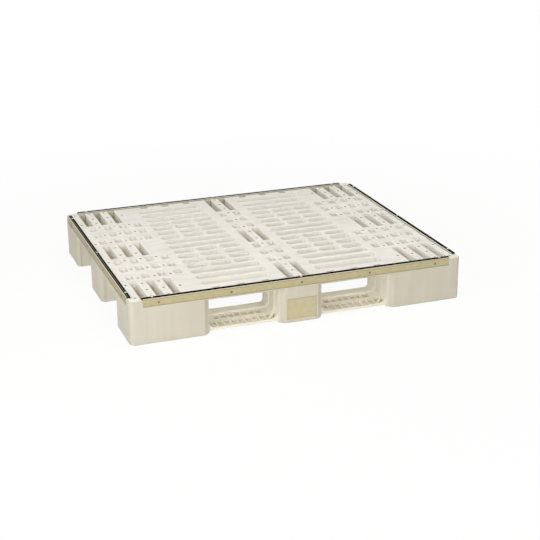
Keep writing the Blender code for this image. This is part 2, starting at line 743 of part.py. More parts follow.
def build_body(material):
    """Build the one-piece moulding, cut in the order outside, tunnels, pockets, cores."""
    body = make_object("pallet_body", block(), material)
    use_boolean(body, make_cutter("upstand_ribs", upstands()), "UNION")
    for name, shape in (("short_side_openings", short_side_openings()),
                        ("long_side_openings", long_side_openings()),
                        ("long_side_mouths", long_side_mouths()),
                        ("runner_undersides", runner_undersides()),
                        ("runner_pockets", runner_pockets()),
                        ("corner_pockets", corner_pockets()),
                        ("deck_slots", deck_slots()),
                        ("edge_pockets", edge_pockets()),
                        ("deck_pockets", deck_pockets()),
                        ("slat_hollows", slat_hollows()),
                        ("underside_cells", underside_cells()),
                        ("drain_holes", drain_holes()),
                        ("plate_recess", plate_recess())):
        use_boolean(body, make_cutter(name, shape))
    return body


def main():
    """Build the pallet."""
    clear_scene()
    materials = {"steel": make_material("plated_steel", (0.55, 0.49, 0.33), 0.35, 1.0),
                 "rubber": make_material("black_rubber", (0.02, 0.02, 0.018), 0.6),
                 "bright": make_material("bright_steel", (0.75, 0.75, 0.74), 0.25, 1.0)}
    body = build_body(make_material("cream_plastic", (0.80, 0.76, 0.68), 0.5))
    plate = make_object("front_label_plate", plate_shape(), materials["steel"])
    plate.location = (0, -WIDTH / 2 + PLATE_SETBACK, (PLATE_TOP + PLATE_BOTTOM) / 2)
    for side in edge_sides():
        build_edge(body, materials, *side)


if __name__ == "__main__":
    main()
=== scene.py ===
"""Dress the plastic pallet: a cream moulding, khaki steel edge angles, rubber rails and screws.

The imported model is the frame. Each sub-assembly is a class that holds its sizes, makes its meshes
with numpy and gives them their finish. Metres, +Z up, X along the long side.
"""
from __future__ import annotations

import json
import logging
import math
from dataclasses import dataclass, field
from enum import Enum
from typing import Any

import bmesh
import bpy
import numpy as np
from mathutils import Matrix, Vector

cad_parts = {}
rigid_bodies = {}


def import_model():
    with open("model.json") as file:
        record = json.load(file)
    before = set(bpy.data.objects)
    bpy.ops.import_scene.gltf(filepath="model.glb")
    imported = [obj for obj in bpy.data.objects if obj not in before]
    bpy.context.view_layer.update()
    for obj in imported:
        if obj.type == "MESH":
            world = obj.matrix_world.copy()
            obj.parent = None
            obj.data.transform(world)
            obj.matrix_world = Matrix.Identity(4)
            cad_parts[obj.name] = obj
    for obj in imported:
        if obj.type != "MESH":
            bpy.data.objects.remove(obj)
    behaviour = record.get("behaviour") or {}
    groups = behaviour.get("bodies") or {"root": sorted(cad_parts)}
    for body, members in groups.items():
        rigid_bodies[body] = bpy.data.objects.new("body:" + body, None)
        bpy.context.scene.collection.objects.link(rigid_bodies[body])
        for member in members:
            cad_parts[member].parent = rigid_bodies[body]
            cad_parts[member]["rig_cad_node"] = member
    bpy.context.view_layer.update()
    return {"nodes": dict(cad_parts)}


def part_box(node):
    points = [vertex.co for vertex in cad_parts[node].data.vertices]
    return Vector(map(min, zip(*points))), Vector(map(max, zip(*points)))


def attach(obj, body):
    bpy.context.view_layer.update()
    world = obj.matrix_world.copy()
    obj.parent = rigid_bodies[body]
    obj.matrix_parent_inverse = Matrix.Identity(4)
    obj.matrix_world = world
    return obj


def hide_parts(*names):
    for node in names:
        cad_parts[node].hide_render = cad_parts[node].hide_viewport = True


LOG = logging.getLogger("pallet")
BODY = "root"
UP = np.array((0.0, 0.0, 1.0))
GOLDEN_SHARE = 0.618034
# Painted shadow under the plate's rim: half its height, and its drop below the top.
PLATE_RIM_SHADE = 0.0012
PLATE_RIM_SHADE_DROP = 0.0005
HOLE_SIDES = 16
HOLE_LENGTH = 0.05
WHITE = (1.0, 1.0, 1.0)

Pair = tuple[float, float]
Triple = tuple[float, float, float]
Colour = Triple
Socket = bpy.types.NodeSocket
Value = Socket | float | Colour


class Slot(Enum):
    """The record's material slots."""

    PLASTIC = "cream_plastic"
    ANGLE = "khaki_steel"
    RUBBER = "black_rubber"
    SCREW = "bright_steel"


class Edge(Enum):
    """The four edges of the deck, each with its outward direction."""

    FRONT = (0.0, -1.0, 0.0)
    REAR = (0.0, 1.0, 0.0)
    LEFT = (-1.0, 0.0, 0.0)
    RIGHT = (1.0, 0.0, 0.0)

    @property
    def label(self) -> str:
        """Return the word that starts the names of this edge's nodes."""
        return self.name.lower()

    @property
    def outward(self) -> np.ndarray:
        """Return the outward unit vector."""
        return np.array(self.value)

    @property
    def along(self) -> np.ndarray:
        """Return the unit vector along the edge, outward x down."""
        return np.cross(self.outward, -UP)


def linear(red: int, green: int, blue: int) -> Colour:
    """Turn a colour of 0 to 255 as a screen shows it into linear light.

    Args:
        red: Red as displayed.
        green: Green as displayed.
        blue: Blue as displayed.

    Returns:
        The linear colour: c / 12.92 below 0.04045, else ((c + 0.055) / 1.055) to the power 2.4.
    """
    shown = np.array((red, green, blue)) / 255.0
    light = np.where(shown <= 0.04045, shown / 12.92, ((shown + 0.055) / 1.055) ** 2.4)
    return tuple(float(value) for value in light)


class NodeTree:
    """Short calls for building a shader tree."""

    def __init__(self, tree: bpy.types.NodeTree) -> None:
        """Keep the tree that the calls add to."""
        self.tree = tree

    def add(self, kind: str, values: dict[str | int, Any] | None = None,
            **settings: Any) -> bpy.types.Node:
        """Add a node.

        Args:
            kind: The node's class name without its ShaderNode prefix.
            values: Constants, colours without their alpha, or sockets, by input name or number.
            settings: Attributes to set on the node.

        Returns:
            The new node.
        """
        node = self.tree.nodes.new("ShaderNode" + kind)
        for name, value in settings.items():
            setattr(node, name, value)
        for name, value in (values or {}).items():
            socket = node.inputs[name]
            if isinstance(value, Socket):
                self.tree.links.new(value, socket)
            else:
                socket.default_value = (*value, 1.0) if socket.type == "RGBA" else value
        return node

    def link(self, source: Socket, node: bpy.types.Node, name: str | int) -> None:
        """Join an output socket to a node's input."""
        self.tree.links.new(source, node.inputs[name])

    def math(self, operation: str, *values: Value) -> Socket:
        """Return the result of an arithmetic operation on one to three values."""
        return self.add("Math", dict(enumerate(values)), operation=operation).outputs["Value"]

    def ramp(self, value: Value, start: Value, end: Value, low: float = 0.0,
             high: float = 1.0) -> Socket:
        """Carry a value from one range to another, and hold it at the ends.

        Args:
            value: The value.
            start: Where the result is low.
            end: Where the result is high.
            low: The result at the start.
            high: The result at the end.

        Returns:
            The result's socket.
        """
        return self.add("MapRange", {"Value": value, "From Min": start, "From Max": end,
                                     "To Min": low, "To Max": high}).outputs["Result"]

    def mix(self, share: Value, base: Value, over: Value, kind: str = "RGBA") -> Socket:
        """Lay one colour or number over another.

        Args:
            share: Share of the upper one.
            base: The lower one.
            over: The upper one.
            kind: RGBA or FLOAT.

        Returns:
            The result's socket.
        """
        return self.add("Mix", {"Factor": share, "A": base, "B": over},
                        data_type=kind).outputs["Result"]

    def noise(self, scale: Value, detail: float, roughness: float = 0.5,
              place: Socket | None = None) -> Socket:
        """Return noise at a place, the object coordinates if none is given."""
        if place is None:
            place = self.add("TexCoord").outputs["Object"]
        return self.add("TexNoise", {"Vector": place, "Scale": scale, "Detail": detail,
                                     "Roughness": roughness}).outputs["Fac"]

    def split(self, vector: Socket) -> dict[str, Socket]:
        """Return a vector's X, Y and Z."""
        node = self.add("SeparateXYZ", {"Vector": vector})
        return {axis: node.outputs[axis] for axis in "XYZ"}

    def place(self) -> dict[str, Socket]:
        """Return the object coordinates X, Y and Z."""
        return self.split(self.add("TexCoord").outputs["Object"])

    def mark(self, name: str) -> Socket:
        """Return the value of a mesh attribute."""
        return self.add("Attribute", attribute_name=name).outputs["Fac"]

    def seen(self) -> Socket:
        """Return one for what the camera or a reflection sees, else zero."""
        path = self.add("LightPath")
        return self.math("MAXIMUM", path.outputs["Is Camera Ray"], path.outputs["Is Glossy Ray"])


class EffectGroups:
    """Shader node groups that several finishes share, each built once."""

    cloud_limits = (0.35, 0.68)

    def __init__(self) -> None:
        """Build the groups."""
        self.mottle = self._mottle()
        self.streaks = self._streaks()
        self.grain = self._grain()

    @staticmethod
    def _begin(name: str, inputs: dict[str, float | Colour],
               output: tuple[str, str]) -> tuple[NodeTree, dict[str, Socket], bpy.types.Node]:
        """Start a group.

        Args:
            name: The group's name.
            inputs: Default of each input, a number or a colour.
            output: Name and kind of the output socket.

        Returns:
            The tree, what its inputs give, by name, and its output node.
        """
        tree = bpy.data.node_groups.new(name, "ShaderNodeTree")
        for label, value in inputs.items():
            is_colour = isinstance(value, tuple)
            kind = "NodeSocketColor" if is_colour else "NodeSocketFloat"
            socket = tree.interface.new_socket(label, in_out="INPUT", socket_type=kind)
            socket.default_value = (*value, 1.0) if is_colour else value
        tree.interface.new_socket(output[0], in_out="OUTPUT", socket_type=output[1])
        source = tree.nodes.new("NodeGroupInput")
        given = {label: source.outputs[label] for label in inputs}
        return NodeTree(tree), given, tree.nodes.new("NodeGroupOutput")

    def _mottle(self) -> bpy.types.NodeTree:
        """Return a group that blends two colours in soft clouds."""
        inputs = {"Colour": (0.8, 0.8, 0.8), "Cloud": (0.7, 0.7, 0.7), "Scale": 6.0}
        nodes, given, target = self._begin("soft_mottle", inputs, ("Colour", "NodeSocketColor"))
        mask = nodes.ramp(nodes.noise(given["Scale"], 4.0, 0.55), *self.cloud_limits)
        nodes.link(nodes.mix(mask, given["Colour"], given["Cloud"]), target, "Colour")
        return nodes.tree

    def _streaks(self) -> bpy.types.NodeTree:
        """Return a group that masks drawn-out streaks, with its own scale along each axis."""
        inputs = {"Scale X": 40.0, "Scale Y": 40.0, "Scale Z": 2.0, "Low": 0.4, "High": 0.7}
        nodes, given, target = self._begin("drawn_streaks", inputs, ("Mask", "NodeSocketFloat"))
        scale = nodes.add("CombineXYZ", {axis: given["Scale " + axis] for axis in "XYZ"})
        place = nodes.add("TexCoord").outputs["Object"]
        stretched = nodes.add("VectorMath", {0: place, 1: scale.outputs["Vector"]},
                              operation="MULTIPLY").outputs["Vector"]
        noise = nodes.noise(1.0, 5.0, 0.6, stretched)
        nodes.link(nodes.ramp(noise, given["Low"], given["High"]), target, "Mask")
        return nodes.tree

    def _grain(self) -> bpy.types.NodeTree:
        """Return a group that gives the height of a fine surface grain over a slow waviness."""
        inputs = {"Fine Scale": 900.0, "Wave Scale": 25.0, "Wave Share": 0.5}
        nodes, given, target = self._begin("surface_grain", inputs, ("Height", "NodeSocketFloat"))
        height = nodes.mix(given["Wave Share"], nodes.noise(given["Fine Scale"], 2.0),
                           nodes.noise(given["Wave Scale"], 1.0), "FLOAT")
        nodes.link(height, target, "Height")
        return nodes.tree


@dataclass(frozen=True)
class Grain:
    """A fine relief: the noises' scales, the slow one's share, and how far it stands out."""

    fine_scale: float
    wave_scale: float
    wave_share: float
    strength: float
    depth: float


@dataclass(frozen=True)
class Finish:
    """What every finish has: its name, its roughness, its grain and calls for shared effects."""

    groups: EffectGroups
    name: str = ""
    roughness: Pair = (0.4, 0.6)
    grain: Grain = Grain(900.0, 25.0, 0.5, 0.5, 0.0005)
    grain_limits: Pair = (0.3, 0.7)

    def begin(self) -> tuple[bpy.types.Material, NodeTree, bpy.types.Node]:
        """Start a Principled material, and return it, its tree and its Principled BSDF."""
        material = bpy.data.materials.new(self.name)
        material.use_nodes = True
        tree = NodeTree(material.node_tree)
        return material, tree, material.node_tree.nodes["Principled BSDF"]

    def clouds(self, tree: NodeTree, colour: Colour, cloud: Colour, scale: float) -> Socket:
        """Return two colours blended in soft clouds.

        Args:
            tree: The material's tree.
            colour: The main colour.
            cloud: The clouds' colour.
            scale: The clouds' scale.

        Returns:
            The colour's socket.
        """
        values = {"Colour": colour, "Cloud": cloud, "Scale": scale}
        return tree.add("Group", values, node_tree=self.groups.mottle).outputs["Colour"]

    def streaks(self, tree: NodeTree, scales: Triple, limits: Pair = (0.4, 0.7)) -> Socket:
        """Return a mask of drawn-out streaks.

        Args:
            tree: The material's tree.
            scales: The streaks' scale along X, Y and Z.
            limits: Noise at which they start, and at which they are full.

        Returns:
            The mask's socket.
        """
        values = {"Scale " + axis: scale for axis, scale in zip("XYZ", scales)}
        values |= {"Low": limits[0], "High": limits[1]}
        return tree.add("Group", values, node_tree=self.groups.streaks).outputs["Mask"]

    def roughen(self, tree: NodeTree, shader: bpy.types.Node, mask: Socket | None = None) -> None:
        """Give a surface its grain and its varied roughness.

        Args:
            tree: The material's tree.
            shader: Its Principled BSDF.
            mask: Where it is roughest, or the grain's height if left out.
        """
        grain = self.grain
        values = {"Fine Scale": grain.fine_scale, "Wave Scale": grain.wave_scale,
                  "Wave Share": grain.wave_share}
        height = tree.add("Group", values, node_tree=self.groups.grain).outputs["Height"]
        source, limits = (height, self.grain_limits) if mask is None else (mask, (0.0, 1.0))
        tree.link(tree.ramp(source, *limits, *self.roughness), shader, "Roughness")
        bump = tree.add("Bump", {"Height": height, "Strength": grain.strength,
                                 "Distance": grain.depth})
        tree.link(bump.outputs["Normal"], shader, "Normal")


@dataclass(frozen=True)
class MouldedPlastic(Finish):
    """Cream polyolefin, streaked on its walls; painted light makes its top paler, and painted glow
    and painted shade fill its recesses, pits, fork ways and edges.
    """

    name: str = "cream_moulded_plastic"
    roughness: Pair = (0.42, 0.58)
    grain: Grain = Grain(700.0, 22.0, 0.6, 0.5, 0.0010)
    gloss: float = 0.35
    wall: Colour = (0.725, 0.685, 0.59)
    wall_cloud: Colour = (0.69, 0.645, 0.535)
    wall_cloud_scale: float = 6.0
    streak: Colour = (0.64, 0.59, 0.475)
    streak_strength: float = 0.55
    streak_scales: Triple = (30.0, 30.0, 1.4)
    # Painted light: the near-white colour of the walls inside the fork ways.
    inner: Colour = (0.965, 0.925, 0.815)
    fork_way_edge: Pair = (0.345, 0.332)
    side_edge: Pair = (0.588, 0.574)
    front_edge: Pair = (0.488, 0.474)
    # Painted shade: the darker colour low in the pits of the fork ways.
    pit: Colour = (0.77, 0.725, 0.62)
    pit_levels: Pair = (0.0155, 0.0115)
    pit_reach: float = 0.470
    # Painted light: upward faces above top_level get these colours, paler than the walls.
    top: Colour = (0.90, 0.885, 0.845)
    top_cloud: Colour = (0.84, 0.82, 0.77)
    top_cloud_scale: float = 9.0
    top_level: float = 0.15
    top_slope: Pair = (0.5, 0.9)
    scuff: Colour = (0.74, 0.715, 0.655)
    scuff_scales: Triple = (9.0, 70.0, 9.0)
    scuff_limits: Pair = (0.5, 0.75)
    # Painted glow near the top of the recess walls and painted shade lower down.
    recess: Colour = (0.98, 0.965, 0.935)
    depth: Colour = (0.90, 0.83, 0.69)
    recess_levels: Pair = (0.142, 0.122)
    # Painted shade on the recess walls near the long edges.
    margin: Colour = (0.62, 0.59, 0.47)
    margin_levels: Pair = (0.455, 0.460)
    # Painted shade: the dark colour of the drain holes' walls.
    drain: Colour = (0.34, 0.28, 0.09)
    # Painted shadow: the dark colour of the upstands' faces.
    upstand: Colour = (0.27, 0.255, 0.18)
    # Painted light: above this level the top colour is used.
    crest_level: float = 0.1582
    # Painted shade: darker bevelled edges, strongest at deck level.
    wear: Colour = (0.47, 0.43, 0.33)
    wear_strength: Pair = (0.55, 0.95)
    wear_levels: Pair = (0.150, 0.152)
    wear_top: float = 0.157
    translucency: float = 0.68
    radius: Colour = (1.0, 0.96, 0.88)
    radius_scale: float = 0.011

    def walls(self, tree: NodeTree, at: dict[str, Socket], away: dict[str, Socket]) -> Socket:
        """Return the walls' colour: streaked outside, with painted light in the fork ways and
        painted shade in the pits.

        Args:
            tree: The material's tree.
            at: The object coordinates.
            away: The distances from the middle along X and Y.

        Returns:
            The colour's socket.
        """
        colour = self.clouds(tree, self.wall, self.wall_cloud, self.wall_cloud_scale)
        streaks = self.streaks(tree, self.streak_scales)
        colour = tree.mix(tree.math("MULTIPLY", streaks, self.streak_strength), colour,
                          self.streak)
        # Painted light: walls inside the fork ways, away from the ends, turn near white.
        fork_way = tree.ramp(away["X"], *self.fork_way_edge)
        across = tree.mix(0.5, fork_way, tree.ramp(away["X"], *self.side_edge), "FLOAT")
        inside = tree.math("MULTIPLY", across, tree.ramp(away["Y"], *self.front_edge))
        colour = tree.mix(inside, colour, self.inner)
        # Painted shade: low faces in the fork ways, within pit_reach, turn darker.
        pit_shade_mask = tree.math("MULTIPLY", tree.ramp(at["Z"], *self.pit_levels), fork_way)
        within = tree.math("LESS_THAN", away["Y"], self.pit_reach)
        return tree.mix(tree.math("MULTIPLY", pit_shade_mask, within), colour, self.pit)

    def cover(self, tree: NodeTree) -> Socket:
        """Return the colour: walls, a scuffed top with painted light, recesses with a painted glow
        and painted shade by their depth, and painted shade on bevelled edges.
        """
        at = tree.place()
        away = {axis: tree.math("ABSOLUTE", at[axis]) for axis in "XY"}
        # Painted light: upward faces above the top level take a paler colour than the walls; the
        # scuff streaks on it are wear.
        flat = tree.mix(self.streaks(tree, self.scuff_scales, self.scuff_limits),
                        self.clouds(tree, self.top, self.top_cloud, self.top_cloud_scale),
                        self.scuff)
        facing = tree.split(tree.add("NewGeometry").outputs["Normal"])
        deck = tree.math("MULTIPLY", tree.ramp(facing["Z"], *self.top_slope),
                         tree.math("GREATER_THAN", at["Z"], self.top_level))
        colour = tree.mix(deck, self.walls(tree, at, away), flat)
        # Painted glow and shade: recess walls are near white at the top, and darker and warmer
        # lower down.
        inside = tree.mix(tree.ramp(at["Z"], *self.recess_levels), self.recess, self.depth)
        # Painted shade: recess walls near the long edges turn darker.
        inside = tree.mix(tree.ramp(away["Y"], *self.margin_levels), inside, self.margin)
        # Painted shade in the drain holes and painted shadow on the upstands' faces, laid over the
        # recess colours.
        for name, over in (("recess", inside), ("drain", self.drain), ("upstand", self.upstand)):
            colour = tree.mix(tree.mark(name), colour, over)
        # Painted shade along the bevelled edges, stronger towards the deck level.
        shaded_bevels = tree.math("MULTIPLY", tree.mark("worn_edge"),
                         tree.math("LESS_THAN", at["Z"], self.wear_top))
        strength = tree.ramp(at["Z"], *self.wear_levels, *self.wear_strength)
        colour = tree.mix(tree.math("MULTIPLY", shaded_bevels, strength), colour, self.wear)
        # Painted light: everything above the crest level takes the top colour.
        return tree.mix(tree.math("GREATER_THAN", at["Z"], self.crest_level), colour, self.top)

    def material(self) -> bpy.types.Material:
        """Return the finished material."""
        material, tree, shader = self.begin()
        tree.link(self.cover(tree), shader, "Base Color")
        self.roughen(tree, shader)
        shader.subsurface_method = "BURLEY"
        for name, value in (("Specular IOR Level", self.gloss),
                            ("Subsurface Weight", self.translucency),
                            ("Subsurface Radius", self.radius),
                            ("Subsurface Scale", self.radius_scale)):
            shader.inputs[name].default_value = value
        return material


@dataclass(frozen=True)
class KhakiSteel(Finish):
    """Sheet steel with a satin khaki coat, with level bands of painted highlight and painted shade
    along its edges.
    """

    name: str = "khaki_coated_steel"
    roughness: Pair = (0.36, 0.5)
    grain: Grain = Grain(1400.0, 60.0, 0.4, 0.35, 0.0004)
    colour: Colour = linear(201, 189, 150)
    cloud: Colour = linear(190, 178, 136)
    cloud_scale: float = 60.0
    # Painted highlight and painted shade colours, laid in level bands.
    bright: Colour = linear(236, 230, 205)
    dark: Colour = linear(158, 146, 108)
    bright_bands: tuple[Pair, ...] = ((0.1567, 0.0010),)
    dark_bands: tuple[Pair, ...] = ((0.1544, 0.0012), (0.1308, 0.0012))
    streak_scales: Triple = (25.0, 25.0, 900.0)
    metallic: float = 0.1

    def material(self) -> bpy.types.Material:
        """Return the finished material. A band is a level and half its height."""
        material, tree, shader = self.begin()
        level = tree.place()["Z"]
        colour = self.clouds(tree, self.colour, self.cloud, self.cloud_scale)
        # Painted highlight and painted shade, each a band at one height.
        for tint, bands in ((self.bright, self.bright_bands), (self.dark, self.dark_bands)):
            for middle, half in bands:
                colour = tree.mix(tree.math("COMPARE", level, middle, half), colour, tint)
        tree.link(colour, shader, "Base Color")
        self.roughen(tree, shader, self.streaks(tree, self.streak_scales))
        shader.inputs["Metallic"].default_value = self.metallic
        return material


@dataclass(frozen=True)
class BlackRubber(Finish):
    """Extruded black rubber with a soft bloom, and a painted highlight along its crown."""

    name: str = "black_extruded_rubber"
    roughness: Pair = (0.5, 0.68)
    grain: Grain = Grain(1800.0, 90.0, 0.3, 0.4, 0.0003)
    gloss: float = 0.015
    colour: Colour = linear(12, 12, 10)
    bloom: Colour = linear(24, 24, 18)
    bloom_scale: float = 60.0
    # Painted highlight along the crown.
    dust: Colour = linear(132, 132, 118)

    def material(self) -> bpy.types.Material:
        """Return the finished material."""
        material, tree, shader = self.begin()
        colour = self.clouds(tree, self.colour, self.bloom, self.bloom_scale)
        # Painted highlight where the crown mark is set.
        tree.link(tree.mix(tree.mark("crown"), colour, self.dust), shader, "Base Color")
        self.roughen(tree, shader)
        shader.inputs["Specular IOR Level"].default_value = self.gloss
        return material


@dataclass(frozen=True)
class BrightScrew(Finish):
    """Plated steel with fine turning marks."""

    name: str = "bright_plated_steel"
    roughness: Pair = (0.2, 0.34)
    grain: Grain = Grain(3000.0, 500.0, 0.5, 0.2, 0.0001)
    colour: Colour = linear(240, 240, 236)
    cloud: Colour = linear(218, 218, 212)
    cloud_scale: float = 400.0

    def material(self) -> bpy.types.Material:
        """Return the finished material."""
        material, tree, shader = self.begin()
        tree.link(self.clouds(tree, self.colour, self.cloud, self.cloud_scale), shader,
                  "Base Color")
        self.roughen(tree, shader)
        shader.inputs["Metallic"].default_value = 1.0
        return material


def corners_of(node: str) -> tuple[np.ndarray, np.ndarray]:
    """Return the lowest and highest corner of a CAD node's box."""
    low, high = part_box(node)
    return np.array(low), np.array(high)


def put(name: str, data: bpy.types.ID) -> bpy.types.Object:
    """Put a mesh, camera or lamp in the scene as an object at the origin."""
    item = bpy.data.objects.new(name, data)
    bpy.context.scene.collection.objects.link(item)
    return item


def ring_mesh(name: str, points: np.ndarray) -> bpy.types.Object:
    """Make a closed piece from rings of points, with a fan to a centre point at either end.

    A quad joins each point, the next one of its ring and the same two of the ring after.

    Args:
        name: The piece's name.
        points: Array of rings, points in a ring and x, y, z.

    Returns:
        The new object, at the origin.
    """
    rows, columns, _ = points.shape
    vertices = np.concatenate((points.reshape(-1, 3), points[[0, -1]].mean(axis=1)))
    index = np.arange(rows * columns).reshape(rows, columns)
    after = np.roll(index, -1, axis=1)
    quads = np.stack((index[:-1], after[:-1], after[1:], index[1:]), axis=-1).reshape(-1, 4)
    centre = np.full(columns, rows * columns)
    first = np.stack((centre, after[0], index[0]), axis=-1)
    last = np.stack((centre + 1, index[-1], after[-1]), axis=-1)
    mesh = bpy.data.meshes.new(name)
    faces = quads.tolist() + first.tolist() + last.tolist()
    mesh.from_pydata(vertices.tolist(), [], faces)
    mesh.update()
    point_out(mesh)
    return put(name, mesh)


def point_out(mesh: bpy.types.Mesh) -> None:
    """Turn every face of a closed mesh outwards."""
    bm = bmesh.new()
    bm.from_mesh(mesh)
    bmesh.ops.recalc_face_normals(bm, faces=bm.faces)
    bm.to_mesh(mesh)
    bm.free()


def shade(piece: bpy.types.Object, sharp_angle: float) -> None:
    """Shade a piece smooth up to an angle between faces.

    Args:
        piece: The object.
        sharp_angle: Angle in degrees above which an edge stays sharp.
    """
    piece.data.shade_smooth()
    piece.data.set_sharp_from_angle(angle=math.radians(sharp_angle))


def dress(piece: bpy.types.Object, material: bpy.types.Material, slot: Slot,
          *nodes: str) -> None:
    """Give a piece its material and its body, and hide the CAD nodes that it stands for.

    Args:
        piece: The new piece.
        material: Its finish.
        slot: The record's slot; not used.
        nodes: CAD nodes that it replaces.
    """
    piece.data.materials.clear()
    piece.data.materials.append(material)
    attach(piece, BODY)
    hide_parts(*nodes)
    LOG.info("%s stands for %s", piece.name, ", ".join(nodes))


def lowest_labels(count: int, pairs: np.ndarray) -> np.ndarray:
    """Give every item the lowest number among all the items that it is joined to.

    Args:
        count: Number of items.
        pairs: Pairs of joined items.

    Returns:
        A label for each item. Each round takes the lower label of every pair, then follows the
        labels one step, until nothing changes.
    """
    label = np.arange(count)
    while True:
        lower = label[pairs].min(axis=1)
        after = label.copy()
        np.minimum.at(after, pairs[:, 0], lower)
        np.minimum.at(after, pairs[:, 1], lower)
        after = after[after]
        if np.array_equal(after, label):
            return label
        label = after


@dataclass
class FlatSplitter:
    """Divides flat faces with openings into simple strips, so that they stay sound when merged."""

    flat_angle: float = 1.0
    clearance: float = 0.0012
    step: float = 0.00025
    facing: float = 0.9
    cut_tolerance: float = 0.0001

    def loops(self, mesh: bpy.types.Mesh) -> tuple[np.ndarray, dict[int, tuple]]:
        """Find the outlines of every flat region of a closed triangle mesh.

        Args:
            mesh: The mesh.

        Returns:
            The region of each face, and for each region with openings its outlines' lowest and
            highest corners, an array of outlines, corners and x, y, z, the largest outline first,
            and all the points of its outlines.
        """
        corners = np.empty((len(mesh.vertices), 3))
        normals = np.empty((len(mesh.polygons), 3))
        ends = np.empty((len(mesh.edges), 2), dtype=int)
        sides = np.empty(len(mesh.loops), dtype=int)
        mesh.vertices.foreach_get("co", corners.reshape(-1))
        mesh.polygon_normals.foreach_get("vector", normals.reshape(-1))
        mesh.edges.foreach_get("vertices", ends.reshape(-1))
        mesh.loops.foreach_get("edge_index", sides)
        faces = np.argsort(sides, kind="stable").reshape(-1, 2) // 3
        bend = (normals[faces[:, 0]] * normals[faces[:, 1]]).sum(axis=1)
        flat = bend > math.cos(math.radians(self.flat_angle))
        region = lowest_labels(len(normals), faces[flat])
        bordering = region[faces[~flat]].reshape(-1, 1)
        tips = np.repeat(ends[~flat], 2, axis=0)
        keys, place = np.unique(bordering * len(corners) + tips, return_inverse=True)
        outline = lowest_labels(len(keys), place.reshape(-1, 2))
        names, number = np.unique(outline, return_inverse=True)
        points = corners[keys % len(corners)]
        low = np.full((len(names), 3), np.inf)
        high = np.full((len(names), 3), -np.inf)
        np.minimum.at(low, number, points)
        np.maximum.at(high, number, points)
        owner = keys[names] // len(corners)
        boxes = np.stack((low, high), axis=1)
        found = {}
        for label in np.unique(owner):
            mine = boxes[owner == label]
            order = np.argsort(-np.linalg.norm(mine[:, 1] - mine[:, 0], axis=1))
            if len(mine) > 1:
                found[int(label)] = (mine[order], points[keys // len(corners) == label])
        return region, found

    def positions(self, openings: np.ndarray, levels: np.ndarray, axis: int) -> list[float]:
        """Choose cut positions along an axis so that every opening is crossed by one.

        Args:
            openings: Lowest and highest corners of the openings.
            levels: Positions of the outlines' corners along the axis, which cuts stay clear of.
            axis: The axis, 0 to 2.

        Returns:
            The positions. Each is the one that crosses most of the openings that are left.
        """
        low, high = openings[:, 0, axis], openings[:, 1, axis]
        tries = np.arange(low.min(), high.max(), self.step)
        room = np.abs(tries[:, None] - levels).min(axis=1)
        crossing = ((tries > low[:, None] + self.clearance)
                    & (tries < high[:, None] - self.clearance) & (room > self.clearance))
        left = np.ones(len(low), dtype=bool)
        chosen: list[float] = []
        while left.any():
            score = crossing[left].sum(axis=0)
            best = int((score + room).argmax())
            if score[best] == 0:
                return chosen + np.unique(((low + high) / 2)[left].round(5)).tolist()
            chosen.append(float(tries[best]))
            left &= ~crossing[:, best]
        return chosen

    def split(self, bm: bmesh.types.BMesh) -> None:
        """Cut every flat region that has openings, and mark the cuts as seams.

        Args:
            bm: A closed triangle mesh, changed in place.
        """
        mesh = bpy.data.meshes.new("outlines")
        bm.to_mesh(mesh)
        region, found = self.loops(mesh)
        normals = np.array([polygon.vector for polygon in mesh.polygon_normals])
        bpy.data.meshes.remove(mesh)
        bm.faces.ensure_lookup_table()
        regions = {label: [bm.faces[index] for index in np.flatnonzero(region == label)]
                   for label in found}
        for label, (boxes, points) in found.items():
            options = [axis for axis in range(3) if abs(normals[label][axis]) < self.facing]
            cuts = {axis: self.positions(boxes[1:], points[:, axis], axis) for axis in options}
            axis = min(options, key=lambda option: len(cuts[option]))
            self.cut(bm, regions[label], axis, cuts[axis])

    def cut(self, bm: bmesh.types.BMesh, faces: list[bmesh.types.BMFace], axis: int,
            positions: list[float]) -> None:
        """Cut faces by planes across an axis.

        Args:
            bm: The mesh.
            faces: The faces of one flat region.
            axis: The planes' normal, 0 to 2.
            positions: The planes' places along it.
        """
        geometry = list({part for face in faces for part in (face, *face.edges, *face.verts)})
        normal = [float(axis == number) for number in range(3)]
        for position in positions:
            place = [position * value for value in normal]
            result = bmesh.ops.bisect_plane(bm, geom=geometry, dist=self.cut_tolerance,
                                            plane_co=place, plane_no=normal)
            geometry = [part for part in result["geom"] if part.is_valid]
            for part in result["geom_cut"]:
                if isinstance(part, bmesh.types.BMEdge):
                    part.seam = part.calc_face_angle(0.0) < math.radians(self.flat_angle)


@dataclass(frozen=True)
class FaceMark:
    """A face attribute for upright faces whose top and height lie within limits."""

    name: str
    top: Pair
    height: Pair
    half_plan: Pair
    largest_width: float = 10.0
    largest_slope: float = 0.3

    def holds(self, face: bmesh.types.BMFace) -> bool:
        """Tell whether a face is upright, inside the plan limits and of the right height."""
        corners = np.array([vertex.co for vertex in face.verts])
        low, high = corners.min(axis=0), corners.max(axis=0)
        reach = np.abs(corners).max(axis=0)
        return bool(abs(face.normal.z) < self.largest_slope
                    and self.top[0] <= high[2] <= self.top[1]
                    and self.height[0] <= high[2] - low[2] <= self.height[1]
                    and reach[0] <= self.half_plan[0] and reach[1] <= self.half_plan[1]
                    and np.linalg.norm((high - low)[:2]) <= self.largest_width)


